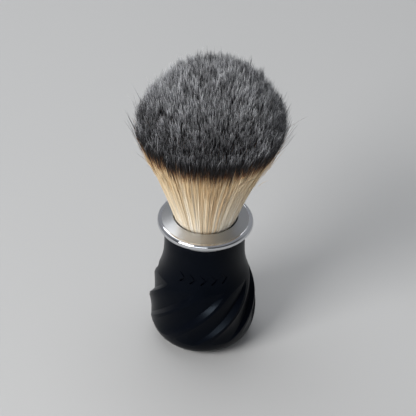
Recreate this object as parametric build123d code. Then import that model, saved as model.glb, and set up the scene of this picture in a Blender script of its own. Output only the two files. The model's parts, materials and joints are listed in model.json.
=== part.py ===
from build123d import *
import math
import os

# Shaving brush: turned handle with a swirled soft grip, metal collar and a synthetic fibre knot.
# Millimetres. +Z runs up the brush axis, -Y is the front face that carries the debossed mark.
# The origin is the centre of the foot, on the surface the brush stands on.

# ---------------------------------------------------------------- driving dimensions
fit_gap = 0.05            # bond line or sliding clearance between neighbouring pieces
curve_search_steps = 30   # halvings used to find a height on a curve
overshoot = 1.0           # how far a cut runs past the face that it opens

# Outside of the handle: (radius, height) points from the base edge up to the neck.
grip_profile = [
    (14.6, 1.4), (16.8, 3.6), (18.05, 6.4), (18.75, 10.0), (18.95, 12.8), (18.9, 16.0),
    (18.2, 21.0), (16.6, 26.5), (15.0, 31.5), (14.3, 36.0), (14.15, 40.0),
]
grip_base_z = 0.3
grip_base_radius = 12.9
grip_top_z = 46.35
grip_top_radius = 14.2
grip_bottom_bore = 12.05

# Swirl relief: sawtooth blades wound round the bulb.
blade_count = 9
blade_pitch = 360.0 / blade_count
blade_lead = 3.6          # degrees of turn for each millimetre of height
blade_phase = -7.0        # turn of one crease at the reference height
blade_phase_z = 20.0
bevel_turn = 7.0          # turn covered by the steep side of a blade
blade_overlap = 3.0       # how far a gentle side runs short of the crest behind it
blade_hollow = 0.35       # share of its rise a gentle side has made by half way
relief_stations = [       # (height, depth of the crease below the bulb surface)
    (5.0, -0.3), (7.5, 0.15), (10.5, 0.8), (14.0, 1.35), (18.0, 1.6),
    (22.0, 1.4), (25.0, 0.85), (27.5, 0.2), (29.2, -0.3),
]
relief_rise = 0.15        # how far the cutter stands clear of the surface at its edges
relief_outside = 3.0      # thickness of the cutter outside the surface

# Debossed mark: a row of plain chevrons.
mark_count = 5
mark_z = 33.6
mark_middle_turn = -5.0
mark_step_turn = 15.0
mark_height = 3.8
mark_reach = 1.7
mark_stroke = 0.9
mark_depth = 0.35
mark_cutter_height = 2.0

# Moulded core inside the grip.
core_profile = [
    (14.6, 3.4), (15.7, 6.4), (16.15, 10.0), (16.2, 12.8), (16.0, 16.0), (15.1, 21.0),
    (13.8, 26.5), (12.9, 31.5), (12.55, 36.0), (12.5, 40.0),
]
core_bottom_z = 2.0
core_bottom_radius = 13.2
core_shoulder_z = 44.0
core_spigot_radius = 11.9
core_top_z = 49.5
plug_recess_top_z = 4.5
ballast_bore_radius = 10.2
ballast_bore_top_z = 22.0
web_thickness = 3.0
pocket_radius = 10.65
pocket_floor_z = 32.8

# Knot cup with its flange and threaded boss.
cup_outer_radius = 10.6
cup_inner_radius = 9.9
cup_floor_z = 32.9
cup_floor_thickness = 1.6
cup_flange_radius = 11.7
cup_flange_z = 49.55
cup_flange_thickness = 0.6
cup_mouth_radius = 10.45
cup_mouth_start_z = 48.6
boss_radius = 4.5
boss_bottom_z = 25.2
thread_radius = 2.5
thread_top_z = 31.9

# Resin that binds the fibre roots in the cup.
resin_radius = 9.85
resin_top_z = 41.0

# Gasket between the cup flange and the collar.
gasket_inner_radius = 10.75
gasket_outer_radius = 11.7
gasket_thickness = 0.45

# Collar.
collar_bottom_z = 46.4
collar_neck_radius = 14.3
collar_neck_top_z = 47.2
collar_bead_middle_radius = 15.45
collar_bead_middle_z = 49.2
collar_bead_round = 1.38
collar_face_radius = 15.2    # outer edge of the conical top face, just inside the bead
collar_face_z = 50.42
collar_mouth_radius = 11.25
collar_mouth_z = 51.8
collar_mouth_round = 0.25
collar_skirt_bore = 12.0
collar_web_z = 50.65

# Seal ring between grip and collar.
seal_ring_radius = 13.1
seal_section_radius = 0.45
seal_groove_half_width = 0.5
seal_groove_depth = 0.95

# Ballast, tie screw and washer.
ballast_radius = 10.1
ballast_bottom_z = 4.6
ballast_top_z = 21.9
ballast_chamfer = 0.4
counterbore_radius = 5.4
counterbore_top_z = 11.0
screw_clearance_radius = 2.75
screw_head_radius = 4.25
screw_head_height = 5.0
screw_shank_radius = 2.45
screw_shank_overlap = 0.5   # length of shank buried in the head
screw_head_chamfer = 0.4
screw_tip_chamfer = 0.5
screw_tip_z = 31.0
screw_socket_across_flats = 4.0
screw_socket_depth = 2.5
washer_radius = 5.0
washer_thickness = 1.0

# Base plug and foot pad.
plug_radius = 11.95
plug_bottom_z = 0.9
plug_top_z = 4.45
plug_core_out_radius = 8.0
plug_core_out_depth = 1.6
pad_radius = 11.2
pad_top_z = 1.9
pad_edge_round = 0.35

# Fibre bundle: (radius, height) of its flank and crown.
root_profile = [(9.8, 41.05), (9.8, 48.4), (10.3, 50.2), (10.95, 52.1)]
flank_profile = [(10.95, 52.1), (13.8, 60.0), (17.8, 70.7), (22.2, 81.0), (25.2, 87.2), (26.3, 91.8)]
crown_profile = [(26.3, 91.8), (25.2, 96.0), (21.6, 101.2), (15.0, 107.3), (7.5, 111.3), (0.0, 112.6)]
root_pivot_z = 52.0       # centre of the ball face where the shafts bend out of the collar
root_ball_radius = 15.0
tip_pivot_z = 70.0        # centre of the ball face where the tips bend on the shafts
tip_ball_radius = 30.0
bend_gap = 0.3            # clearance between the ball faces


# ---------------------------------------------------------------- shared helpers
def polar(radius, turn, z):
    """Point at a radius and height, turned from the front (-Y) towards +X."""
    angle = math.radians(turn)
    return (radius * math.sin(angle), -radius * math.cos(angle), z)


def radius_at(curve, z):
    """Radius where a curve that climbs steadily in the XZ plane reaches a height."""
    low = 0.0
    high = 1.0
    for _ in range(curve_search_steps):
        middle = (low + high) / 2
        if curve.position_at(middle).Z < z:
            low = middle
        else:
            high = middle
    return curve.position_at(high).X


def tube(outer, inner, z_low, z_high):
    """Plain ring about the brush axis."""
    height = z_high - z_low
    ring = Cylinder(outer, height) - Cylinder(inner, height * 2)
    return Pos(0, 0, (z_low + z_high) / 2) * ring


def rod(radius, z_low, z_high):
    """Plain round bar about the brush axis."""
    return Pos(0, 0, (z_low + z_high) / 2) * Cylinder(radius, z_high - z_low)


def revolved(edges):
    """Solid of revolution from a closed outline drawn in the XZ plane."""
    return revolve(make_face(edges), axis=Axis.Z)


def open_spline(points):
    return Spline(*[(r, 0, z) for r, z in points])


def straight(*points):
    return Polyline(*[(r, 0, z) for r, z in points])


def grip_outer_curve():
    """Outside of the grip as one smooth curve from the base edge to the neck."""
    base = (grip_base_radius, grip_base_z)
    top = (grip_top_radius, grip_top_z)
    return open_spline([base] + grip_profile + [top])


# ---------------------------------------------------------------- handle
def make_grip_blank():
    """Revolved grip before the swirl and the mark are cut."""
    inner = [(r + fit_gap, z) for r, z in core_profile]
    bore = open_spline([(core_bottom_radius + fit_gap, core_bottom_z - fit_gap)] + inner)
    bore_top = (inner[-1][0], core_shoulder_z + fit_gap)
    outline = [
        grip_outer_curve(),
        straight(
            (grip_top_radius, grip_top_z),
            (core_spigot_radius + fit_gap, grip_top_z),
            (core_spigot_radius + fit_gap, core_shoulder_z + fit_gap),
            bore_top,
            inner[-1],
        ),
        bore,
        straight(
            (core_bottom_radius + fit_gap, core_bottom_z - fit_gap),
            (grip_bottom_bore, core_bottom_z - fit_gap),
            (grip_bottom_bore, grip_base_z),
            (grip_base_radius, grip_base_z),
        ),
    ]
    return revolved(outline)


def make_blade_cutter(turn_offset):
    """Wedge that cuts one gentle slope and the steep bevel that ends it."""
    curve = grip_outer_curve()
    behind = blade_pitch - bevel_turn - blade_overlap
    sections = []
    for z, depth in relief_stations:
        surface = radius_at(curve, z)
        turn = turn_offset + blade_phase + blade_lead * (z - blade_phase_z)
        edge = surface + relief_rise
        crease = surface - depth
        far = surface + relief_outside
        back = polar(edge, turn - behind, z)
        middle = polar(crease + blade_hollow * (edge - crease), turn - behind / 2, z)
        low = polar(crease, turn, z)
        front = polar(edge, turn + bevel_turn, z)
        far_front = polar(far, turn + bevel_turn, z)
        far_middle = polar(far, turn - behind / 2, z)
        far_back = polar(far, turn - behind, z)
        wire = Wire([
            Edge.make_three_point_arc(back, middle, low),
            Edge.make_line(low, front),
            Edge.make_line(front, far_front),
            Edge.make_three_point_arc(far_front, far_middle, far_back),
            Edge.make_line(far_back, back),
        ])
        sections.append(wire)
    return Solid.make_loft(sections)


def make_chevron(turn):
    """Shallow chevron pocket at one turn position on the neck of the grip."""
    surface = radius_at(grip_outer_curve(), mark_z)
    half = mark_height / 2
    stroke = mark_stroke
    plane = Plane(
        origin=polar(surface - mark_depth, turn, mark_z),
        x_dir=polar(1, turn + 90, 0),
        z_dir=polar(1, turn, 0),
    )
    left = -mark_reach / 2
    shape = Polyline(
        (left, half), (left + stroke, half), (left + stroke + mark_reach, 0),
        (left + stroke, -half), (left, -half), (left + mark_reach, 0), (left, half),
    )
    return extrude(plane * make_face(shape), amount=mark_cutter_height)


def make_grip_sleeve():
    grip = make_grip_blank()
    cutters = [make_blade_cutter(blade_pitch * index) for index in range(blade_count)]
    grip = grip - cutters
    groove = tube(
        seal_ring_radius + seal_groove_half_width,
        seal_ring_radius - seal_groove_half_width,
        grip_top_z - seal_groove_depth,
        grip_top_z + overshoot,
    )
    grip = grip - groove
    first_turn = mark_middle_turn - mark_step_turn * (mark_count - 1) / 2
    marks = [make_chevron(first_turn + mark_step_turn * index) for index in range(mark_count)]
    return grip - marks


def make_handle_core():
    """Moulded body: ballast bore below, knot pocket above, screw web between."""
    outline = [
        open_spline([(core_bottom_radius, core_bottom_z)] + core_profile),
        straight(
            core_profile[-1],
            (core_profile[-1][0], core_shoulder_z),
            (core_spigot_radius, core_shoulder_z),
            (core_spigot_radius, core_top_z),
            (pocket_radius, core_top_z),
            (pocket_radius, pocket_floor_z),
            (boss_radius + fit_gap, pocket_floor_z),
            (boss_radius + fit_gap, ballast_bore_top_z + web_thickness),
            (screw_clearance_radius, ballast_bore_top_z + web_thickness),
            (screw_clearance_radius, ballast_bore_top_z),
            (ballast_bore_radius, ballast_bore_top_z),
            (ballast_bore_radius, plug_recess_top_z),
            (plug_radius + fit_gap, plug_recess_top_z),
            (plug_radius + fit_gap, core_bottom_z),
            (core_bottom_radius, core_bottom_z),
        ),
    ]
    return revolved(outline)


def make_ballast_weight():
    weight = rod(ballast_radius, ballast_bottom_z, ballast_top_z)
    weight = chamfer(weight.edges().filter_by(GeomType.CIRCLE), ballast_chamfer)
    weight = weight - rod(screw_clearance_radius, ballast_bottom_z - overshoot, ballast_top_z + overshoot)
    return weight - rod(counterbore_radius, ballast_bottom_z - overshoot, counterbore_top_z)


def make_screw_washer():
    return tube(
        washer_radius,
        screw_clearance_radius,
        counterbore_top_z - washer_thickness,
        counterbore_top_z - fit_gap / 2,
    )


def make_tie_screw():
    """Socket cap screw standing head down inside the ballast."""
    head_top = counterbore_top_z - washer_thickness - fit_gap / 2
    head_bottom = head_top - screw_head_height
    head = rod(screw_head_radius, head_bottom, head_top)
    head = chamfer(head.edges().group_by(Axis.Z)[0], screw_head_chamfer)
    shank = rod(screw_shank_radius, head_top - screw_shank_overlap, screw_tip_z)
    shank = chamfer(shank.edges().group_by(Axis.Z)[-1], screw_tip_chamfer)
    hexagon = RegularPolygon(screw_socket_across_flats / 2, 6, major_radius=False)
    socket = extrude(Pos(0, 0, head_bottom) * hexagon, amount=screw_socket_depth)
    return head + shank - socket


def make_base_plug():
    plug = rod(plug_radius, plug_bottom_z, plug_top_z)
    plug = plug - rod(pad_radius + fit_gap, plug_bottom_z - overshoot, pad_top_z + fit_gap)
    return plug - rod(plug_core_out_radius, plug_top_z - plug_core_out_depth, plug_top_z + overshoot)


def make_foot_pad():
    pad = rod(pad_radius, 0, pad_top_z)
    return fillet(pad.edges().group_by(Axis.Z)[0], pad_edge_round)


# ---------------------------------------------------------------- collar and knot seat
def make_collar():
    """Metal ring: short neck, half-round bead, conical top face, bore for the cup and spigot."""
    radius = collar_bead_middle_radius
    middle_z = collar_bead_middle_z
    bead_bottom = (radius, 0, middle_z - collar_bead_round)
    bead_side = (radius + collar_bead_round, 0, middle_z)
    bead_top = (radius, 0, middle_z + collar_bead_round)
    cove = Spline(
        (collar_neck_radius, 0, collar_neck_top_z),
        bead_bottom,
        tangents=[(0, 0, 1), (1, 0, 0)],
    )
    bead = ThreePointArc(bead_bottom, bead_side, bead_top)
    lip = Spline(
        bead_top,
        (collar_face_radius, 0, collar_face_z),
        tangents=[(-1, 0, 0), (-0.3, 0, -1)],
    )
    rest = straight(
        (collar_face_radius, collar_face_z),
        (collar_mouth_radius + collar_mouth_round, collar_mouth_z),
        (collar_mouth_radius, collar_mouth_z - collar_mouth_round),
        (collar_mouth_radius, collar_web_z),
        (collar_skirt_bore, collar_web_z),
        (collar_skirt_bore, collar_bottom_z),
        (collar_neck_radius, collar_bottom_z),
        (collar_neck_radius, collar_neck_top_z),
    )
    return revolved([cove, bead, lip, rest])


def make_collar_seal():
    middle_z = collar_bottom_z - seal_section_radius
    return Pos(0, 0, middle_z) * Torus(seal_ring_radius, seal_section_radius)


def make_cup_gasket():
    bottom = cup_flange_z + cup_flange_thickness
    return tube(gasket_outer_radius, gasket_inner_radius, bottom, bottom + gasket_thickness)


def make_knot_cup():
    outline = straight(
        (0, cup_floor_z + cup_floor_thickness),
        (cup_inner_radius, cup_floor_z + cup_floor_thickness),
        (cup_inner_radius, cup_mouth_start_z),
        (cup_mouth_radius, cup_flange_z + cup_flange_thickness),
        (cup_flange_radius, cup_flange_z + cup_flange_thickness),
        (cup_flange_radius, cup_flange_z),
        (cup_outer_radius, cup_flange_z),
        (cup_outer_radius, cup_floor_z),
        (boss_radius, cup_floor_z),
        (boss_radius, boss_bottom_z),
        (thread_radius, boss_bottom_z),
        (thread_radius, thread_top_z),
        (0, thread_top_z),
        (0, cup_floor_z + cup_floor_thickness),
    )
    return revolved(outline)


def make_resin_plug():
    return rod(resin_radius, cup_floor_z + cup_floor_thickness + fit_gap, resin_top_z)


# ---------------------------------------------------------------- fibre bundle
def make_fibre_bundle():
    """Whole bundle as one closed form, from the resin up to the crown."""
    outline = [
        open_spline(root_profile),
        open_spline(flank_profile),
        open_spline(crown_profile),
        straight((0, crown_profile[-1][1]), (0, root_profile[0][1]), root_profile[0]),
    ]
    return revolved(outline)


def make_fibre_roots(bundle):
    """Lowest length of the bundle, held by the cup and domed on top."""
    return bundle & Pos(0, 0, root_pivot_z) * Sphere(root_ball_radius)


def make_fibre_shafts(bundle):
    """Middle length: hollow ball face below, domed ball face above."""
    middle = bundle & Pos(0, 0, tip_pivot_z) * Sphere(tip_ball_radius)
    return middle - make_root_clearance()


def make_root_clearance():
    """Ball above the root pivot joined to a rod that clears the held roots below it."""
    ball = Pos(0, 0, root_pivot_z) * Sphere(root_ball_radius + bend_gap)
    return ball + rod(root_ball_radius, root_profile[0][1] - overshoot, root_pivot_z)


def make_fibre_tips(bundle):
    """Crown length: hollow ball face below, free dome above."""
    ball = Pos(0, 0, tip_pivot_z) * Sphere(tip_ball_radius + bend_gap)
    below = rod(tip_ball_radius, root_profile[0][1] - overshoot, tip_pivot_z)
    return bundle - (ball + below)


# ---------------------------------------------------------------- output
os.makedirs("parts", exist_ok=True)
bundle = make_fibre_bundle()
pieces = {
    "grip_sleeve": make_grip_sleeve(),
    "handle_core": make_handle_core(),
    "ballast_weight": make_ballast_weight(),
    "tie_screw": make_tie_screw(),
    "screw_washer": make_screw_washer(),
    "base_plug": make_base_plug(),
    "foot_pad": make_foot_pad(),
    "collar": make_collar(),
    "collar_seal": make_collar_seal(),
    "cup_gasket": make_cup_gasket(),
    "knot_cup": make_knot_cup(),
    "resin_plug": make_resin_plug(),
    "fibre_roots": make_fibre_roots(bundle),
    "fibre_shafts": make_fibre_shafts(bundle),
    "fibre_tips": make_fibre_tips(bundle),
}
for name, piece in pieces.items():
    export_step(piece, f"parts/{name}.step")
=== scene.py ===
import json
import math

import bpy
import numpy as np
from mathutils import Matrix, Vector


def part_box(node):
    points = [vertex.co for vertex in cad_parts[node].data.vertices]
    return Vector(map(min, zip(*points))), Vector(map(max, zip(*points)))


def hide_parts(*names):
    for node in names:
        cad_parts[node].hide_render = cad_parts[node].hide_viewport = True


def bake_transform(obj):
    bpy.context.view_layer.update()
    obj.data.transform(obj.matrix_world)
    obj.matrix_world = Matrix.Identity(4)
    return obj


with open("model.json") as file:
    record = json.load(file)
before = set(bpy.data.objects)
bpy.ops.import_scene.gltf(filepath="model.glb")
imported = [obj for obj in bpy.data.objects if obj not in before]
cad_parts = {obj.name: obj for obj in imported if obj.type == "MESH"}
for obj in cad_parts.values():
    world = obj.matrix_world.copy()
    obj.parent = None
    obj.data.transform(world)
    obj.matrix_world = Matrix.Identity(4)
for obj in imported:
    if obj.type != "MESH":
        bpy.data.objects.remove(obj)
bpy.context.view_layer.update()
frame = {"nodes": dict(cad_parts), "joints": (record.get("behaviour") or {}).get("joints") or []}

MM = 0.001
rng = np.random.default_rng(20261116)

# ------------------------------------------------------------------ sizes taken from the CAD frame
tips_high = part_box("fibre_tips")[1]
joints = {joint["name"]: joint for joint in frame["joints"]}
root_pivot_z = joints["knot_flex_side"]["pos_m"][2] / MM
crown_z = tips_high.z / MM
bloom_radius = tips_high.x / MM

# ------------------------------------------------------------------ visible bundle, in millimetres
# Guide curves as (radius, height). The outermost strands run at about nine tenths of the flank radius.
FLANK = np.array([(9.8, 48.4), (10.8, 50.3), (11.9, 50.9), (12.0, 51.8), (12.4, 53.0), (15.0, 60.0),
                  (19.6, 70.7), (24.6, 81.0), (27.0, 87.0), (27.9, 91.8), (28.8, 97.0), (31.5, 108.0),
                  (33.5, 116.0)])
CROWN = np.array([(0.0, 113.6), (7.5, 112.5), (13.0, 110.2), (18.0, 106.2), (21.6, 101.1), (23.8, 96.6),
                  (25.2, 92.6), (26.4, 89.4)])
ROOT_Z = 50.35            # strands start here, inside the collar mouth
SEAM_Z = 70.0             # lower and upper lengths of the flank strands meet about here
SEAM_JITTER = 1.2         # and each strand's own meeting height strays this far from it
KNOT_LEAN = 1.2           # the bundle leans this far towards +X
LEAN_LENGTH = 45.0        # at this height above the lower joint
CORE_SHARE = 0.86         # radius of the opaque inside as a share of the flank
CORE_BOTTOM = 50.2
CORE_SHOULDER = 84.0      # the inside follows the flank up to here and the crown above
CORE_DROP = 9.0           # depth of the inside below the crown


def flank_radius(z):
    return np.interp(z, FLANK[:, 1], FLANK[:, 0])


def crown_height(radius):
    return np.interp(radius, CROWN[:, 0], CROWN[:, 1])


# ------------------------------------------------------------------ node helpers
def new_material(name):
    material = bpy.data.materials.new(name)
    material.use_nodes = True
    tree = material.node_tree
    tree.nodes.clear()
    output = tree.nodes.new("ShaderNodeOutputMaterial")
    shader = tree.nodes.new("ShaderNodeBsdfPrincipled")
    tree.links.new(shader.outputs["BSDF"], output.inputs["Surface"])
    return material, tree, shader


def add(tree, kind, **settings):
    node = tree.nodes.new(kind)
    for key, value in settings.items():
        setattr(node, key, value)
    return node


def noise(tree, scale, detail=3.0, roughness=0.5, stretch=None):
    """Noise in object coordinates; stretch scales the three axes."""
    coords = add(tree, "ShaderNodeTexCoord")
    mapping = add(tree, "ShaderNodeMapping")
    if stretch:
        mapping.inputs["Scale"].default_value = stretch
    tree.links.new(coords.outputs["Object"], mapping.inputs["Vector"])
    node = add(tree, "ShaderNodeTexNoise")
    node.inputs["Scale"].default_value = scale
    node.inputs["Detail"].default_value = detail
    node.inputs["Roughness"].default_value = roughness
    tree.links.new(mapping.outputs["Vector"], node.inputs["Vector"])
    return node


def ramp(tree, source, stops):
    node = add(tree, "ShaderNodeValToRGB")
    ramp_data = node.color_ramp
    while len(ramp_data.elements) > 1:
        ramp_data.elements.remove(ramp_data.elements[-1])
    ramp_data.elements[0].position = stops[0][0]
    ramp_data.elements[0].color = (*stops[0][1], 1)
    for position, colour in stops[1:]:
        element = ramp_data.elements.new(position)
        element.color = (*colour, 1)
    tree.links.new(source, node.inputs["Fac"])
    return node


def value_range(tree, source, low, high, new_low, new_high):
    node = add(tree, "ShaderNodeMapRange")
    node.inputs["From Min"].default_value = low
    node.inputs["From Max"].default_value = high
    node.inputs["To Min"].default_value = new_low
    node.inputs["To Max"].default_value = new_high
    tree.links.new(source, node.inputs["Value"])
    return node


def mix_colour(tree, factor, first, second, blend="MIX"):
    node = add(tree, "ShaderNodeMix", data_type="RGBA", blend_type=blend)
    for socket, value in ((node.inputs[0], factor), (node.inputs[6], first), (node.inputs[7], second)):
        if hasattr(value, "links"):
            tree.links.new(value, socket)
        elif isinstance(value, tuple):
            socket.default_value = (*value, 1)
        else:
            socket.default_value = value
    return node


def add_bump(tree, shader, height, distance, strength=1.0, after=None):
    node = add(tree, "ShaderNodeBump")
    node.inputs["Strength"].default_value = strength
    node.inputs["Distance"].default_value = distance
    tree.links.new(height, node.inputs["Height"])
    if after is not None:
        tree.links.new(after.outputs["Normal"], node.inputs["Normal"])
    tree.links.new(node.outputs["Normal"], shader.inputs["Normal"])
    return node


def plain_finish(name, dark, light, rough, metal=0.0, grain=600.0, relief=0.00002, stretch=None, coat=0.0):
    """General finish: colour drift, uneven roughness and a fine bump."""
    material, tree, shader = new_material(name)
    drift = noise(tree, grain * 0.12, 4.0, 0.6, stretch)
    colour = ramp(tree, drift.outputs["Fac"], [(0.32, dark), (0.68, light)])
    tree.links.new(colour.outputs["Color"], shader.inputs["Base Color"])
    fine = noise(tree, grain, 3.0, 0.6, stretch)
    rough_value = value_range(tree, fine.outputs["Fac"], 0.3, 0.7, rough * 0.82, min(1.0, rough * 1.18))
    tree.links.new(rough_value.outputs["Result"], shader.inputs["Roughness"])
    shader.inputs["Metallic"].default_value = metal
    shader.inputs["Coat Weight"].default_value = coat
    add_bump(tree, shader, fine.outputs["Fac"], relief)
    return material


# ------------------------------------------------------------------ materials
def grip_finish():
    """Black soft-touch rubber: faint mould grain, slightly polished where fingers rub the ridges."""
    material, tree, shader = new_material("grip_soft_black")
    drift = noise(tree, 90.0, 4.0, 0.6)
    dark, light = (0.0008, 0.0012, 0.0026), (0.0015, 0.0021, 0.0042)
    colour = ramp(tree, drift.outputs["Fac"], [(0.3, dark), (0.7, light)])
    geometry = add(tree, "ShaderNodeNewGeometry")
    ridge = value_range(tree, geometry.outputs["Pointiness"], 0.53, 0.60, 0.0, 1.0)
    scuffs = noise(tree, 420.0, 5.0, 0.7)
    scuff_mask = value_range(tree, scuffs.outputs["Fac"], 0.45, 0.75, 0.0, 0.55)
    wear = add(tree, "ShaderNodeMath", operation="MULTIPLY")
    tree.links.new(ridge.outputs["Result"], wear.inputs[0])
    tree.links.new(scuff_mask.outputs["Result"], wear.inputs[1])
    worn_colour = (0.010, 0.012, 0.017)
    worn = mix_colour(tree, wear.outputs[0], colour.outputs["Color"], worn_colour)
    tree.links.new(worn.outputs[2], shader.inputs["Base Color"])
    patches = noise(tree, 60.0, 3.0, 0.5)
    rough_value = value_range(tree, patches.outputs["Fac"], 0.3, 0.7, 0.28, 0.31)
    tree.links.new(rough_value.outputs["Result"], shader.inputs["Roughness"])
    shader.inputs["Specular IOR Level"].default_value = 0.06
    shader.inputs["Specular Tint"].default_value = (0.64, 0.81, 1.0, 1)
    grain = noise(tree, 3200.0, 2.0, 0.6)
    add_bump(tree, shader, grain.outputs["Fac"], 0.000018, 0.7)
    return material


def chrome_finish():
    """Polished bead with faint wipe marks."""
    material, tree, shader = new_material("collar_polished")
    drift = noise(tree, 120.0, 3.0, 0.5)
    dark, light = (0.58, 0.59, 0.61), (0.66, 0.67, 0.69)
    colour = ramp(tree, drift.outputs["Fac"], [(0.3, dark), (0.7, light)])
    tree.links.new(colour.outputs["Color"], shader.inputs["Base Color"])
    shader.inputs["Metallic"].default_value = 1.0
    wipes = noise(tree, 500.0, 5.0, 0.7)
    rough_value = value_range(tree, wipes.outputs["Fac"], 0.35, 0.75, 0.045, 0.13)
    tree.links.new(rough_value.outputs["Result"], shader.inputs["Roughness"])
    add_bump(tree, shader, wipes.outputs["Fac"], 0.000002)
    return material


TURNING_MARKS_PER_METRE = 9000.0


def satin_finish():
    """Turned satin face: fine rings about the brush axis."""
    material, tree, shader = new_material("collar_satin")
    coords = add(tree, "ShaderNodeTexCoord")
    split = add(tree, "ShaderNodeSeparateXYZ")
    tree.links.new(coords.outputs["Object"], split.inputs[0])
    flat = add(tree, "ShaderNodeCombineXYZ")
    tree.links.new(split.outputs["X"], flat.inputs["X"])
    tree.links.new(split.outputs["Y"], flat.inputs["Y"])
    length = add(tree, "ShaderNodeVectorMath", operation="LENGTH")
    tree.links.new(flat.outputs[0], length.inputs[0])
    rings = add(tree, "ShaderNodeTexNoise", noise_dimensions="1D")
    rings.inputs["Scale"].default_value = TURNING_MARKS_PER_METRE
    rings.inputs["Detail"].default_value = 3.0
    tree.links.new(length.outputs["Value"], rings.inputs["W"])
    dark, light = (0.40, 0.405, 0.41), (0.49, 0.495, 0.50)
    colour = ramp(tree, rings.outputs["Fac"], [(0.3, dark), (0.7, light)])
    tree.links.new(colour.outputs["Color"], shader.inputs["Base Color"])
    shader.inputs["Metallic"].default_value = 1.0
    blotch = noise(tree, 260.0, 3.0, 0.6)
    rough_value = value_range(tree, blotch.outputs["Fac"], 0.3, 0.7, 0.29, 0.36)
    tree.links.new(rough_value.outputs["Result"], shader.inputs["Roughness"])
    add_bump(tree, shader, rings.outputs["Fac"], 0.000012, 0.6)
    return material


# Dye along a strand, from its tip: share of DYE_LENGTH and colour.
DYE_LENGTH = 20.0
DYE_STOPS = [
    (0.000, (0.74, 0.75, 0.77)),
    (0.045, (0.60, 0.61, 0.63)),
    (0.095, (0.33, 0.335, 0.35)),
    (0.145, (0.080, 0.080, 0.088)),
    (0.190, (0.010, 0.009, 0.010)),
    (0.360, (0.010, 0.006, 0.004)),
    (0.415, (0.075, 0.030, 0.012)),
    (0.485, (0.22, 0.105, 0.042)),
    (0.560, (0.55, 0.375, 0.205)),
    (0.660, (0.84, 0.695, 0.480)),
]
BAND_END = (9.5, 12.0)      # millimetres from the tip over which a strand turns from dyed to cream
PALE_HEIGHTS = (50.0, 76.0)  # the cream is palest at the collar and warms towards the upper height
PALE_CREAM = (0.95, 0.925, 0.85)
GREY_GAIN = (0.14, 1.60)    # darkest and brightest strand among the grey tips
CREAM_TONES = [
    (0.0, (0.72, 0.55, 0.38)),
    (0.28, (0.93, 0.84, 0.70)),
    (0.6, (1.0, 0.98, 0.95)),
    (1.0, (1.08, 1.11, 1.17)),
]


def fibre_finish(name):
    """Colour runs along each strand by its distance from the tip; tone varies strand by strand."""
    material, tree, shader = new_material(name)
    from_tip = add(tree, "ShaderNodeAttribute", attribute_name="from_tip")
    tone = add(tree, "ShaderNodeAttribute", attribute_name="tone")
    height = add(tree, "ShaderNodeAttribute", attribute_name="height")
    scaled = value_range(tree, from_tip.outputs["Fac"], 0.0, DYE_LENGTH, 0.0, 1.0)
    along = ramp(tree, scaled.outputs["Result"], DYE_STOPS)
    pale = value_range(tree, height.outputs["Fac"], *PALE_HEIGHTS, 0.8, 0.0)
    lower = mix_colour(tree, pale.outputs["Result"], along.outputs["Color"], PALE_CREAM)
    is_cream = value_range(tree, from_tip.outputs["Fac"], *BAND_END, 0.0, 1.0)
    body = mix_colour(tree, is_cream.outputs["Result"], along.outputs["Color"], lower.outputs[2])
    gain = value_range(tree, tone.outputs["Fac"], 0.0, 1.0, *GREY_GAIN)
    gain_colour = add(tree, "ShaderNodeCombineColor")
    for channel in ("Red", "Green", "Blue"):
        tree.links.new(gain.outputs["Result"], gain_colour.inputs[channel])
    gain_cream = ramp(tree, tone.outputs["Fac"], CREAM_TONES)
    gain_used = mix_colour(tree, is_cream.outputs["Result"], gain_colour.outputs[0],
                           gain_cream.outputs["Color"])
    final = mix_colour(tree, 1.0, body.outputs[2], gain_used.outputs[2], "MULTIPLY")
    tree.links.new(final.outputs[2], shader.inputs["Base Color"])
    patches = noise(tree, 900.0, 2.0, 0.5)
    rough_value = value_range(tree, patches.outputs["Fac"], 0.3, 0.7, 0.38, 0.52)
    tree.links.new(rough_value.outputs["Result"], shader.inputs["Roughness"])
    shader.inputs["Specular IOR Level"].default_value = 0.45
    add_bump(tree, shader, patches.outputs["Fac"], 0.000004, 0.5)
    return material


# ------------------------------------------------------------------ strand meshes
SIDES = 3
TWO_PI = 2 * math.pi
CELLS_PER_ROW = 512     # strands side by side in the texture layout
CELL_FILL = 0.96        # height of a strand's cell as a share of its row
CELL_MARGIN = 0.02


def double_ends(values):
    """Repeats the first and last ring, so that the flat ends share no vertex with the sides."""
    return np.concatenate([values[:, :1], values, values[:, -1:]], axis=1)


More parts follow.
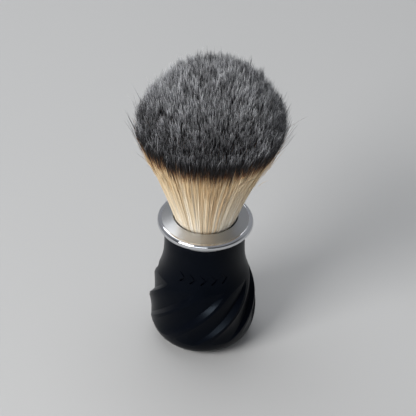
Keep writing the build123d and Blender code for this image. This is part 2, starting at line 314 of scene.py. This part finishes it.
def strand_mesh(name, centres, radii, from_tip, tone, material):
    """One mesh of closed three-sided strands.
    centres is (strand, ring, xyz) in millimetres; radii and from_tip are (strand, ring)."""
    count, rings, _ = centres.shape
    tangent = np.gradient(centres, axis=1)
    tangent /= np.linalg.norm(tangent, axis=2, keepdims=True)
    outward = centres * np.array([1.0, 1.0, 0.0])
    outward /= np.linalg.norm(outward, axis=2, keepdims=True) + 1e-9
    across = np.cross(tangent, outward)
    across /= np.linalg.norm(across, axis=2, keepdims=True) + 1e-9
    normal = np.cross(across, tangent)
    turns = rng.uniform(0, TWO_PI, count)[:, None] + np.arange(SIDES)[None, :] * TWO_PI / SIDES
    cosine = np.cos(turns)[:, None, :, None]
    sine = np.sin(turns)[:, None, :, None]
    ring = normal[:, :, None, :] * cosine + across[:, :, None, :] * sine
    points = centres[:, :, None, :] + ring * radii[:, :, None, None]
    vertices = (double_ends(points).reshape(-1, 3) * MM).astype(np.float32)

    base = (np.arange(count) * (rings + 2) * SIDES)[:, None, None]
    level = (np.arange(1, rings) * SIDES)[None, :, None]
    side = np.arange(SIDES)[None, None, :]
    following = (side + 1) % SIDES
    quads = np.stack([base + level + side, base + level + following,
                      base + level + SIDES + following, base + level + SIDES + side], axis=-1)
    quads = quads.reshape(count, -1, 4)
    low_cap = base[:, 0] + np.arange(SIDES)[::-1][None, :]
    high_cap = base[:, 0] + (rings + 1) * SIDES + np.arange(SIDES)[None, :]

    quad_count = quads.shape[1]
    loops = np.concatenate([quads.reshape(count, -1), low_cap, high_cap], axis=1)
    sizes = np.concatenate([np.full((count, quad_count), 4), np.full((count, 2), 3)], axis=1).ravel()
    starts = np.concatenate([[0], np.cumsum(sizes)[:-1]])
    mesh = bpy.data.meshes.new(name)
    mesh.vertices.add(len(vertices))
    mesh.vertices.foreach_set("co", vertices.ravel())
    mesh.loops.add(int(sizes.sum()))
    mesh.loops.foreach_set("vertex_index", loops.ravel().astype(np.int32))
    mesh.polygons.add(len(sizes))
    mesh.polygons.foreach_set("loop_start", starts.astype(np.int32))
    mesh.polygons.foreach_set("use_smooth", sizes == 4)
    mesh.update(calc_edges=True)

    for key, values in (("from_tip", from_tip), ("tone", np.repeat(tone[:, None], rings, 1)),
                        ("height", centres[:, :, 2])):
        attribute = mesh.attributes.new(key, "FLOAT", "POINT")
        per_vertex = np.repeat(double_ends(values).reshape(-1), SIDES)
        attribute.data.foreach_set("value", per_vertex.astype(np.float32))

    # Texture layout: each strand has its own narrow upright cell in a grid.
    rows = math.ceil(count / CELLS_PER_ROW)
    column = np.arange(count) % CELLS_PER_ROW
    row = np.arange(count) // CELLS_PER_ROW
    left = column / CELLS_PER_ROW
    right = (column + 1) / CELLS_PER_ROW
    bottom = (row + CELL_MARGIN) / rows
    cell_height = CELL_FILL / rows
    share = np.arange(rings) / (rings - 1)
    ring_v = bottom[:, None] + cell_height * share[None, :]
    quad_u = np.stack([left, right, right, left], axis=1)[:, None, None, :]
    quad_u = np.broadcast_to(quad_u, (count, rings - 1, SIDES, 4)).reshape(count, -1)
    quad_v = np.stack([ring_v[:, :-1], ring_v[:, :-1], ring_v[:, 1:], ring_v[:, 1:]], axis=-1)
    quad_v = np.broadcast_to(quad_v[:, :, None, :], (count, rings - 1, SIDES, 4)).reshape(count, -1)
    middle = (left + right) / 2
    cap_u = np.stack([left, middle, right] * 2, axis=1)
    lift = cell_height * CELL_MARGIN
    top = ring_v[:, -1]
    cap_v = np.stack([bottom, bottom + lift, bottom, top - lift, top, top - lift], axis=1)
    uv = np.stack([np.concatenate([quad_u, cap_u], 1), np.concatenate([quad_v, cap_v], 1)], axis=-1)
    layer = mesh.uv_layers.new(name="OFBake")
    layer.data.foreach_set("uv", uv.reshape(-1).astype(np.float32))

    mesh.materials.append(material)
    obj = bpy.data.objects.new(name, mesh)
    bpy.context.scene.collection.objects.link(obj)
    return obj


TUFT_SPACING = 1.7
TUFT_JITTER = 0.28      # share of the spacing
TUFT_LIFT = 0.85
ROW_PITCH = 0.87        # distance between rows of a hexagonal grid of pitch 1
BLOCK = 2000            # tips handled at a time when each is given its nearest tuft


def tuft_centres(spacing, limit):
    """Jittered hexagonal grid of tuft centres at the crown."""
    steps = int(limit / spacing) + 2
    rows_of_points = []
    for row in range(-steps, steps + 1):
        for column in range(-steps, steps + 1):
            x = (column + 0.5 * (row % 2)) * spacing
            y = row * spacing * ROW_PITCH
            rows_of_points.append((x, y))
    points = np.array(rows_of_points)
    points = points + rng.normal(0, spacing * TUFT_JITTER, points.shape)
    return points[np.hypot(points[:, 0], points[:, 1]) < limit]


def nearest_tuft(tufts, points):
    chosen = np.empty(len(points), int)
    for start in range(0, len(points), BLOCK):
        block = points[start:start + BLOCK]
        distance = ((block[:, None, :] - tufts[None, :, :]) ** 2).sum(axis=2)
        chosen[start:start + BLOCK] = distance.argmin(axis=1)
    return chosen


tufts = tuft_centres(TUFT_SPACING, bloom_radius + 2.0)
# Tone of a tuft: its own, plus a slow drift over the crown, less painted shade along a parting from front to
# back.
tuft_drift = 0.14 * np.sin(tufts[:, 0] / 3.4 + 1.0) * np.cos(tufts[:, 1] / 5.2)
# Painted shade: tufts near a front-to-back line through the middle of the crown get a darker tone.
tuft_parting_shade = 0.22 * np.exp(-((tufts[:, 0] + 1.0) / 7.0) ** 2)
tuft_tone = np.clip(rng.uniform(0, 1, len(tufts)) + tuft_drift - tuft_parting_shade, 0, 1)
tuft_lift = rng.normal(0, TUFT_LIFT, len(tufts))

PULL_RANGE = (0.15, 0.7)     # share of the way from a tip's own place to the middle of its tuft
MEAN_LIFT = -0.5
LONG_SHARE = 0.10            # share of strands that end above the rest
LONG_EXTRA = 0.55
TUFT_WEIGHT = 0.55           # how much of a strand's tone comes from its tuft
RIM_START = 16.0             # radius where the rim of the crown begins
RIM_WIDTH = 10.0
RIM_DIP = 2.2                # grey lost from the tips at the rim
RIM_SPLAY = 0.3
BAND_SHIFT = -0.05
BAND_SPREAD = 1.2
WAVE = 0.22
FLICK = 0.42
GATHER_LENGTH = 9.0          # length below the tip over which strands draw together
FLICK_LENGTH = 5.0
TAPER_LENGTH = 8.0
TIP_THICKNESS = 0.16         # share of the full thickness left at the very tip


def strand_plan(tip_points, tip_lift_spread):
    """Tip position, height, tone and sideways wave for strands that end at these points of the crown."""
    count = len(tip_points)
    tuft = nearest_tuft(tufts, tip_points)
    pull = rng.uniform(*PULL_RANGE, count)[:, None]
    gathered = tip_points + (tufts[tuft] - tip_points) * pull
    radius = np.hypot(tip_points[:, 0], tip_points[:, 1])
    lift = rng.normal(MEAN_LIFT, tip_lift_spread, count) + tuft_lift[tuft]
    long_ones = rng.uniform(0, 1, count) < LONG_SHARE
    lift[long_ones] += rng.exponential(LONG_EXTRA, long_ones.sum())
    tip_z = crown_height(radius) + lift
    own_tone = rng.uniform(0, 1, count)
    tone = np.clip(TUFT_WEIGHT * tuft_tone[tuft] + (1 - TUFT_WEIGHT) * own_tone, 0, 1)
    edge = np.clip((radius - RIM_START) / RIM_WIDTH, 0, 1) ** 1.5
    shift = rng.normal(BAND_SHIFT, BAND_SPREAD, count) - 0.2 * tip_points[:, 0] / bloom_radius
    dip = RIM_DIP * edge * rng.uniform(0.4, 1.5, count)
    wave = rng.normal(0, WAVE, (count, 2))
    outward = tip_points / (radius[:, None] + 1e-6)
    splay = outward * (rng.exponential(RIM_SPLAY, count) * edge)[:, None]
    flick = rng.normal(0, FLICK, (count, 2))
    return {"spread": tip_points, "gathered": gathered + splay, "tip_z": tip_z, "tone": tone, "shift": shift,
            "dip": dip, "wave": wave, "flick": flick}


def strand_centres(plan, heights):
    """Centres (strand, ring, xyz) for ring heights (strand, ring).
    Each strand runs up the flare and gathers at its tuft."""
    tip_z = plan["tip_z"][:, None]
    flare = flank_radius(heights) / flank_radius(tip_z)
    straight = plan["spread"][:, None, :] * flare[:, :, None]
    gather = np.clip(1 - (tip_z - heights) / GATHER_LENGTH, 0, 1) ** 1.6
    pulled = (plan["gathered"] - plan["spread"])[:, None, :] * gather[:, :, None]
    rise = np.clip((heights - root_pivot_z) / LEAN_LENGTH, 0, 1)
    swing = plan["wave"][:, None, :] * (np.sin(rise * 5.0) * rise)[:, :, None]
    near_tip = np.clip(1 - (tip_z - heights) / FLICK_LENGTH, 0, 1) ** 1.5
    flicked = plan["flick"][:, None, :] * near_tip[:, :, None]
    flat = straight + pulled + swing + flicked
    flat[:, :, 0] += KNOT_LEAN * rise ** 2
    return np.concatenate([flat, heights[:, :, None]], axis=2)


def strand_radii(distance, thickness):
    """Radius (strand, ring) by distance from the tip; thickness is the radius low on the strand."""
    taper = np.clip(distance / TAPER_LENGTH, 0, 1) ** 0.75
    return thickness[:, None] * (TIP_THICKNESS + (1 - TIP_THICKNESS) * taper)


def dye_distance(plan, distance):
    """Distance from the tip as the dye sees it: uneven between strands, and with less grey at the rim."""
    uneven = plan["shift"][:, None] * np.clip(distance / 4, 0, 1)
    return np.maximum(distance + uneven + plan["dip"][:, None], 0)


def disc_points(count, inner, outer):
    """Even random scatter over a ring between two radii."""
    radius = np.sqrt(rng.uniform(inner ** 2, outer ** 2, count))
    angle = rng.uniform(0, TWO_PI, count)
    return np.stack([radius * np.cos(angle), radius * np.sin(angle)], axis=1)


fibre_cream = fibre_finish("fibre_shaft_finish")
fibre_crown = fibre_finish("fibre_tip_finish")


def blend_lower(obj):
    """Stands in for the held roots, whose CAD piece it hides."""
    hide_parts("fibre_roots")
    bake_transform(obj)


def blend_upper(obj, node):
    """Stands in for the named node, whose CAD piece it hides."""
    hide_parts(node)
    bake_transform(obj)


FLANK_STRANDS = 7600
FLANK_GROUPS = 2          # meshes for each of the lower and upper lengths
OUTER_RING = (24.3, 25.2)
INNER_RING = (20.5, 24.5)
FLANK_THICKNESS = (0.10, 0.15)
LOWER_RINGS = 9
UPPER_RINGS = 7

CROWN_STRANDS = 19000
CROWN_GROUPS = 4
CROWN_RADIUS = 24.8
CROWN_THICKNESS = (0.10, 0.155)
CROWN_LENGTH = (14.0, 17.0)
CROWN_RINGS = 6

STRAYS = 520
STRAY_RING = (24.0, 26.4)
STRAY_TOP_Z = 98.0
STRAY_START_Z = (71.6, 78.0)
STRAY_MIN_LENGTH = 5.0
STRAY_THICKNESS = 0.085
STRAY_TIP_Z = 95.0        # the dye of the loose fibres is laid out from this height
STRAY_RINGS = 8


def build_flank():
    """Outer strands that run the whole way from the collar to their tips."""
    count = FLANK_STRANDS
    outer_count = count * 6 // 10
    outer = disc_points(outer_count, *OUTER_RING)
    inner = disc_points(count - outer_count, *INNER_RING)
    points = np.concatenate([outer, inner])
    plan = strand_plan(points[rng.permutation(count)], 0.8)
    thickness = rng.uniform(*FLANK_THICKNESS, count)
    seam = SEAM_Z + rng.uniform(-SEAM_JITTER, SEAM_JITTER, count)
    lower_share = np.linspace(0, 1, LOWER_RINGS)
    lower_heights = ROOT_Z + (seam[:, None] - ROOT_Z) * lower_share[None, :]
    upper_share = np.linspace(0, 1, UPPER_RINGS) ** 0.8
    upper_heights = seam[:, None] + (plan["tip_z"] - seam)[:, None] * upper_share[None, :]
    for part, heights in (("lower", lower_heights), ("upper", upper_heights)):
        centres = strand_centres(plan, heights)
        distance = plan["tip_z"][:, None] - heights
        radii = strand_radii(distance, thickness)
        from_tip = dye_distance(plan, distance)
        for group in range(FLANK_GROUPS):
            keep = slice(group * count // FLANK_GROUPS, (group + 1) * count // FLANK_GROUPS)
            obj = strand_mesh(f"knot_flank_{part}_{group + 1}", centres[keep], radii[keep], from_tip[keep],
                              plan["tone"][keep], fibre_cream)
            if part == "lower":
                blend_lower(obj)
            else:
                blend_upper(obj, "fibre_shafts")


def build_crown():
    """Inner strands, made only for their upper lengths, which are all that shows between the tips."""
    count = CROWN_STRANDS
    plan = strand_plan(disc_points(count, 0.0, CROWN_RADIUS), 1.0)
    thickness = rng.uniform(*CROWN_THICKNESS, count)
    share = np.linspace(0, 1, CROWN_RINGS) ** 0.75
    length = rng.uniform(*CROWN_LENGTH, count)
    heights = (plan["tip_z"] - length)[:, None] + length[:, None] * share[None, :]
    centres = strand_centres(plan, heights)
    distance = plan["tip_z"][:, None] - heights
    radii = strand_radii(distance, thickness)
    from_tip = dye_distance(plan, distance)
    for group in range(CROWN_GROUPS):
        keep = slice(group * count // CROWN_GROUPS, (group + 1) * count // CROWN_GROUPS)
        obj = strand_mesh(f"knot_crown_{group + 1}", centres[keep], radii[keep], from_tip[keep],
                          plan["tone"][keep], fibre_crown)
        blend_upper(obj, "fibre_tips")


def build_strays():
    """A few fibres that stand off the flank and the crown edge."""
    angle = rng.uniform(0, TWO_PI, STRAYS)
    radius = rng.uniform(*STRAY_RING, STRAYS)
    points = np.stack([radius * np.cos(angle), radius * np.sin(angle)], axis=1)
    plan = strand_plan(points, 2.5)
    tip_z = STRAY_TOP_Z - rng.gamma(2.0, 2.6, STRAYS)
    plan["gathered"] = points
    outward = points / radius[:, None]
    start = rng.uniform(*STRAY_START_Z, STRAYS)
    plan["tip_z"] = np.maximum(tip_z, start + STRAY_MIN_LENGTH)
    share = np.linspace(0, 1, STRAY_RINGS)
    heights = start[:, None] + (plan["tip_z"] - start)[:, None] * share[None, :]
    centres = strand_centres(plan, heights)
    lean = rng.gamma(2.0, 0.75, STRAYS)
    centres[:, :, :2] += outward[:, None, :] * (lean[:, None] * share[None, :] ** 2)[:, :, None]
    side = np.stack([-outward[:, 1], outward[:, 0]], axis=1)
    drift = rng.normal(0, 1.0, STRAYS)
    centres[:, :, :2] += side[:, None, :] * (drift[:, None] * share[None, :] ** 2)[:, :, None]
    distance = plan["tip_z"][:, None] - heights
    radii = strand_radii(distance, np.full(STRAYS, STRAY_THICKNESS))
    from_tip = np.maximum(STRAY_TIP_Z - heights, 0)
    obj = strand_mesh("knot_stray_fibres", centres, radii, from_tip, plan["tone"], fibre_crown)
    blend_upper(obj, "fibre_tips")


def revolved_mesh(name, outline, steps, material):
    """Closed surface of revolution from (radius, height) points in mm; both ends lie on the axis.
    A point given twice parts the shading there and makes a crisp rim."""
    points = []
    turns = np.arange(steps) * TWO_PI / steps
    for radius, z in outline[1:-1]:
        for turn in turns:
            points.append((radius * math.cos(turn) * MM, radius * math.sin(turn) * MM, z * MM))
    low_pole = len(points)
    points.append((0, 0, outline[0][1] * MM))
    high_pole = len(points)
    points.append((0, 0, outline[-1][1] * MM))
    faces = []
    levels = len(outline) - 2
    for level in range(levels - 1):
        if outline[level + 1] == outline[level + 2]:
            continue
        for step in range(steps):
            following = (step + 1) % steps
            faces.append((level * steps + step, level * steps + following,
                          (level + 1) * steps + following, (level + 1) * steps + step))
    for step in range(steps):
        following = (step + 1) % steps
        faces.append((low_pole, following, step))
        faces.append((high_pole, (levels - 1) * steps + step, (levels - 1) * steps + following))
    mesh = bpy.data.meshes.new(name)
    mesh.from_pydata(points, [], faces)
    mesh.polygons.foreach_set("use_smooth", np.ones(len(mesh.polygons), bool))
    mesh.materials.append(material)
    obj = bpy.data.objects.new(name, mesh)
    bpy.context.scene.collection.objects.link(obj)
    return obj


CORE_STEPS = 96


def core_finish(name):
    """Dense inside of the bundle: streaks along the fibres, cream below and near black above."""
    material, tree, shader = new_material(name)
    coords = add(tree, "ShaderNodeTexCoord")
    split = add(tree, "ShaderNodeSeparateXYZ")
    tree.links.new(coords.outputs["Object"], split.inputs[0])
    by_height = value_range(tree, split.outputs["Z"], 0.050, 0.100, 0.0, 1.0)
    streak = noise(tree, 900.0, 3.0, 0.6, (1.0, 1.0, 0.04))
    jitter = value_range(tree, streak.outputs["Fac"], 0.3, 0.7, -0.03, 0.03)
    total = add(tree, "ShaderNodeMath", operation="ADD")
    tree.links.new(by_height.outputs["Result"], total.inputs[0])
    tree.links.new(jitter.outputs["Result"], total.inputs[1])
    colour = ramp(tree, total.outputs[0], [
        (0.00, (0.93, 0.86, 0.74)), (0.40, (0.90, 0.75, 0.54)), (0.66, (0.80, 0.62, 0.40)),
        (0.72, (0.05, 0.027, 0.014)), (0.76, (0.006, 0.005, 0.005)), (1.0, (0.012, 0.012, 0.014)),
    ])
    shade = ramp(tree, streak.outputs["Fac"], [(0.3, (0.6, 0.6, 0.6)), (0.7, (1.0, 1.0, 1.0))])
    final = mix_colour(tree, 1.0, colour.outputs["Color"], shade.outputs["Color"], "MULTIPLY")
    tree.links.new(final.outputs[2], shader.inputs["Base Color"])
    rough_value = value_range(tree, streak.outputs["Fac"], 0.3, 0.7, 0.6, 0.8)
    tree.links.new(rough_value.outputs["Result"], shader.inputs["Roughness"])
    add_bump(tree, shader, streak.outputs["Fac"], 0.0001)
    return material


def build_core():
    """Opaque inside of the bundle, so that light does not pass between the strands."""
    finish = core_finish("fibre_core_finish")
    side = [(flank_radius(z) * CORE_SHARE, z) for z in np.linspace(CORE_BOTTOM, SEAM_Z, 16)]
    lower = [(0.0, CORE_BOTTOM), side[0], *side, side[-1], (0.0, SEAM_Z)]
    side = [(flank_radius(z) * CORE_SHARE, z) for z in np.linspace(SEAM_Z, CORE_SHOULDER, 10)]
    upper = [(0.0, SEAM_Z), side[0], *side]
    for radius in (22.5, 20.0, 15.0, 10.0, 5.0):
        upper.append((radius, float(crown_height(radius / 0.9)) - CORE_DROP))
    upper.append((0.0, crown_z - CORE_DROP))
    blend_lower(revolved_mesh("knot_inside_lower", lower, CORE_STEPS, finish))
    blend_upper(revolved_mesh("knot_inside_upper", upper, CORE_STEPS, finish), "fibre_shafts")


# ------------------------------------------------------------------ finishes of the CAD pieces
def dress(node, *materials):
    """Gives a CAD piece these materials in place of its own."""
    obj = frame["nodes"][node]
    obj.data.materials.clear()
    for material in materials:
        obj.data.materials.append(material)
    return obj


# The conical top face of the collar lies above this height and inside this radius, in metres.
CONE_FOOT_Z = 0.0503
CONE_FOOT_RADIUS = 0.0152


def dress_collar():
    """Polished metal, with the satin finish on the conical top face."""
    obj = dress("collar", chrome_finish(), satin_finish())
    for polygon in obj.data.polygons:
        centre = polygon.center
        if centre.z > CONE_FOOT_Z and math.hypot(centre.x, centre.y) < CONE_FOOT_RADIUS:
            polygon.material_index = 1


dress("grip_sleeve", grip_finish())
dress_collar()
dress("handle_core", plain_finish("core_moulding", (0.012, 0.012, 0.013), (0.024, 0.024, 0.026), 0.5))
dress("ballast_weight", plain_finish("ballast_casting", (0.16, 0.155, 0.15), (0.26, 0.255, 0.25), 0.55,
                                     metal=1.0, grain=900.0, relief=0.00008))
dress("tie_screw", plain_finish("screw_plating", (0.46, 0.47, 0.50), (0.62, 0.62, 0.64), 0.3, metal=1.0))
dress("screw_washer", plain_finish("washer_plating", (0.48, 0.48, 0.50), (0.60, 0.60, 0.62), 0.34,
                                   metal=1.0))
dress("base_plug", plain_finish("plug_moulding", (0.010, 0.010, 0.011), (0.020, 0.020, 0.022), 0.45))
dress("foot_pad", plain_finish("pad_rubber", (0.016, 0.016, 0.017), (0.032, 0.032, 0.034), 0.8,
                               grain=1500.0, relief=0.00006))
dress("collar_seal", plain_finish("seal_rubber", (0.008, 0.008, 0.009), (0.016, 0.016, 0.017), 0.5))
dress("cup_gasket", plain_finish("gasket_rubber", (0.010, 0.010, 0.011), (0.022, 0.022, 0.023), 0.6))
dress("knot_cup", plain_finish("cup_turning", (0.55, 0.56, 0.57), (0.68, 0.69, 0.70), 0.35,
                               metal=1.0, grain=700.0, relief=0.00002, stretch=(0.1, 0.1, 8.0)))
dress("resin_plug", plain_finish("resin_cast", (0.34, 0.24, 0.10), (0.50, 0.38, 0.20), 0.25,
                                 grain=300.0, relief=0.00005, coat=0.3))

build_core()
build_flank()
build_crown()
build_strays()

# ------------------------------------------------------------------ floor, light and camera
FLOOR_REACH = 6.0
FLOOR_GAP = 0.00005
FLOOR_COLOUR = (0.405, 0.406, 0.405, 1)

floor_mesh = bpy.data.meshes.new("floor")
corners = [(-FLOOR_REACH, -FLOOR_REACH, 0), (FLOOR_REACH, -FLOOR_REACH, 0),
           (FLOOR_REACH, FLOOR_REACH, 0), (-FLOOR_REACH, FLOOR_REACH, 0)]
floor_mesh.from_pydata(corners, [], [(0, 1, 2, 3)])
floor = bpy.data.objects.new("floor", floor_mesh)
floor.location.z = -FLOOR_GAP
bpy.context.scene.collection.objects.link(floor)
floor_material, _, floor_shader = new_material("floor_paper")
floor_shader.inputs["Base Color"].default_value = FLOOR_COLOUR
floor_shader.inputs["Roughness"].default_value = 0.7
floor_shader.inputs["Specular IOR Level"].default_value = 0.2
floor_mesh.materials.append(floor_material)


def area_light(name, place, target, size, power, colour):
    """Rectangular light that faces the target."""
    data = bpy.data.lights.new(name, "AREA")
    data.shape = "RECTANGLE"
    data.size, data.size_y = size
    data.energy = power
    data.color = colour
    light = bpy.data.objects.new(name, data)
    light.location = place
    direction = Vector(target) - Vector(place)
    light.rotation_mode = "QUATERNION"
    light.rotation_quaternion = direction.to_track_quat("-Z", "Y")
    bpy.context.scene.collection.objects.link(light)
    return light


aim = (0, 0, 0.06)
area_light("window_left", (-0.72, -0.62, 0.72), aim, (0.55, 0.55), 14.8, (1.0, 0.99, 0.98))
area_light("overhead", (-0.12, 0.42, 1.10), aim, (1.0, 1.0), 7.6, (0.97, 0.985, 1.0))
area_light("front_fill", (-0.36, -1.05, 0.50), aim, (0.9, 0.36), 2.4, (0.94, 0.97, 1.0))

DIM_ROOM = 0.06
BRIGHT_ROOM = 0.36
world = bpy.data.worlds.new("studio")
world.use_nodes = True
background = world.node_tree.nodes["Background"]
background.inputs["Color"].default_value = (0.93, 0.95, 1.0, 1)
# The room is dimmer low down on the camera's side, which gives the polished bead its dark line.
sky = world.node_tree
direction = add(sky, "ShaderNodeTexCoord")
parts_of_direction = add(sky, "ShaderNodeSeparateXYZ")
sky.links.new(direction.outputs["Generated"], parts_of_direction.inputs[0])
upward = value_range(sky, parts_of_direction.outputs["Z"], 0.25, 0.85, 0.0, 1.0)
backward = value_range(sky, parts_of_direction.outputs["Y"], -0.45, 0.25, 0.0, 1.0)
brighter = add(sky, "ShaderNodeMath", operation="MAXIMUM")
sky.links.new(upward.outputs["Result"], brighter.inputs[0])
sky.links.new(backward.outputs["Result"], brighter.inputs[1])
strength = value_range(sky, brighter.outputs[0], 0.0, 1.0, DIM_ROOM, BRIGHT_ROOM)
sky.links.new(strength.outputs["Result"], background.inputs["Strength"])
bpy.context.scene.world = world

LENS = 258.0
SENSOR_WIDTH = 36.0
CAMERA_ROLL = math.radians(2.0)
camera_place = Vector((-0.0545, -0.8198, 0.6871))
look_at = Vector((0.0008, 0.0, 0.0545))

camera_data = bpy.data.cameras.new("camera")
camera_data.lens = LENS
camera_data.sensor_width = SENSOR_WIDTH
camera_data.clip_start = 0.05
camera_data.clip_end = 30.0
camera = bpy.data.objects.new("camera", camera_data)
forward = (look_at - camera_place).normalized()
right = forward.cross(Vector((0, 0, 1))).normalized()
up = right.cross(forward)
rolled_right = right * math.cos(CAMERA_ROLL) + up * math.sin(CAMERA_ROLL)
rolled_up = up * math.cos(CAMERA_ROLL) - right * math.sin(CAMERA_ROLL)
turn = Matrix((rolled_right, rolled_up, -forward)).transposed()
camera.matrix_world = Matrix.Translation(camera_place) @ turn.to_4x4()
bpy.context.scene.collection.objects.link(camera)
bpy.context.scene.camera = camera
bpy.context.scene.view_settings.view_transform = "Standard"
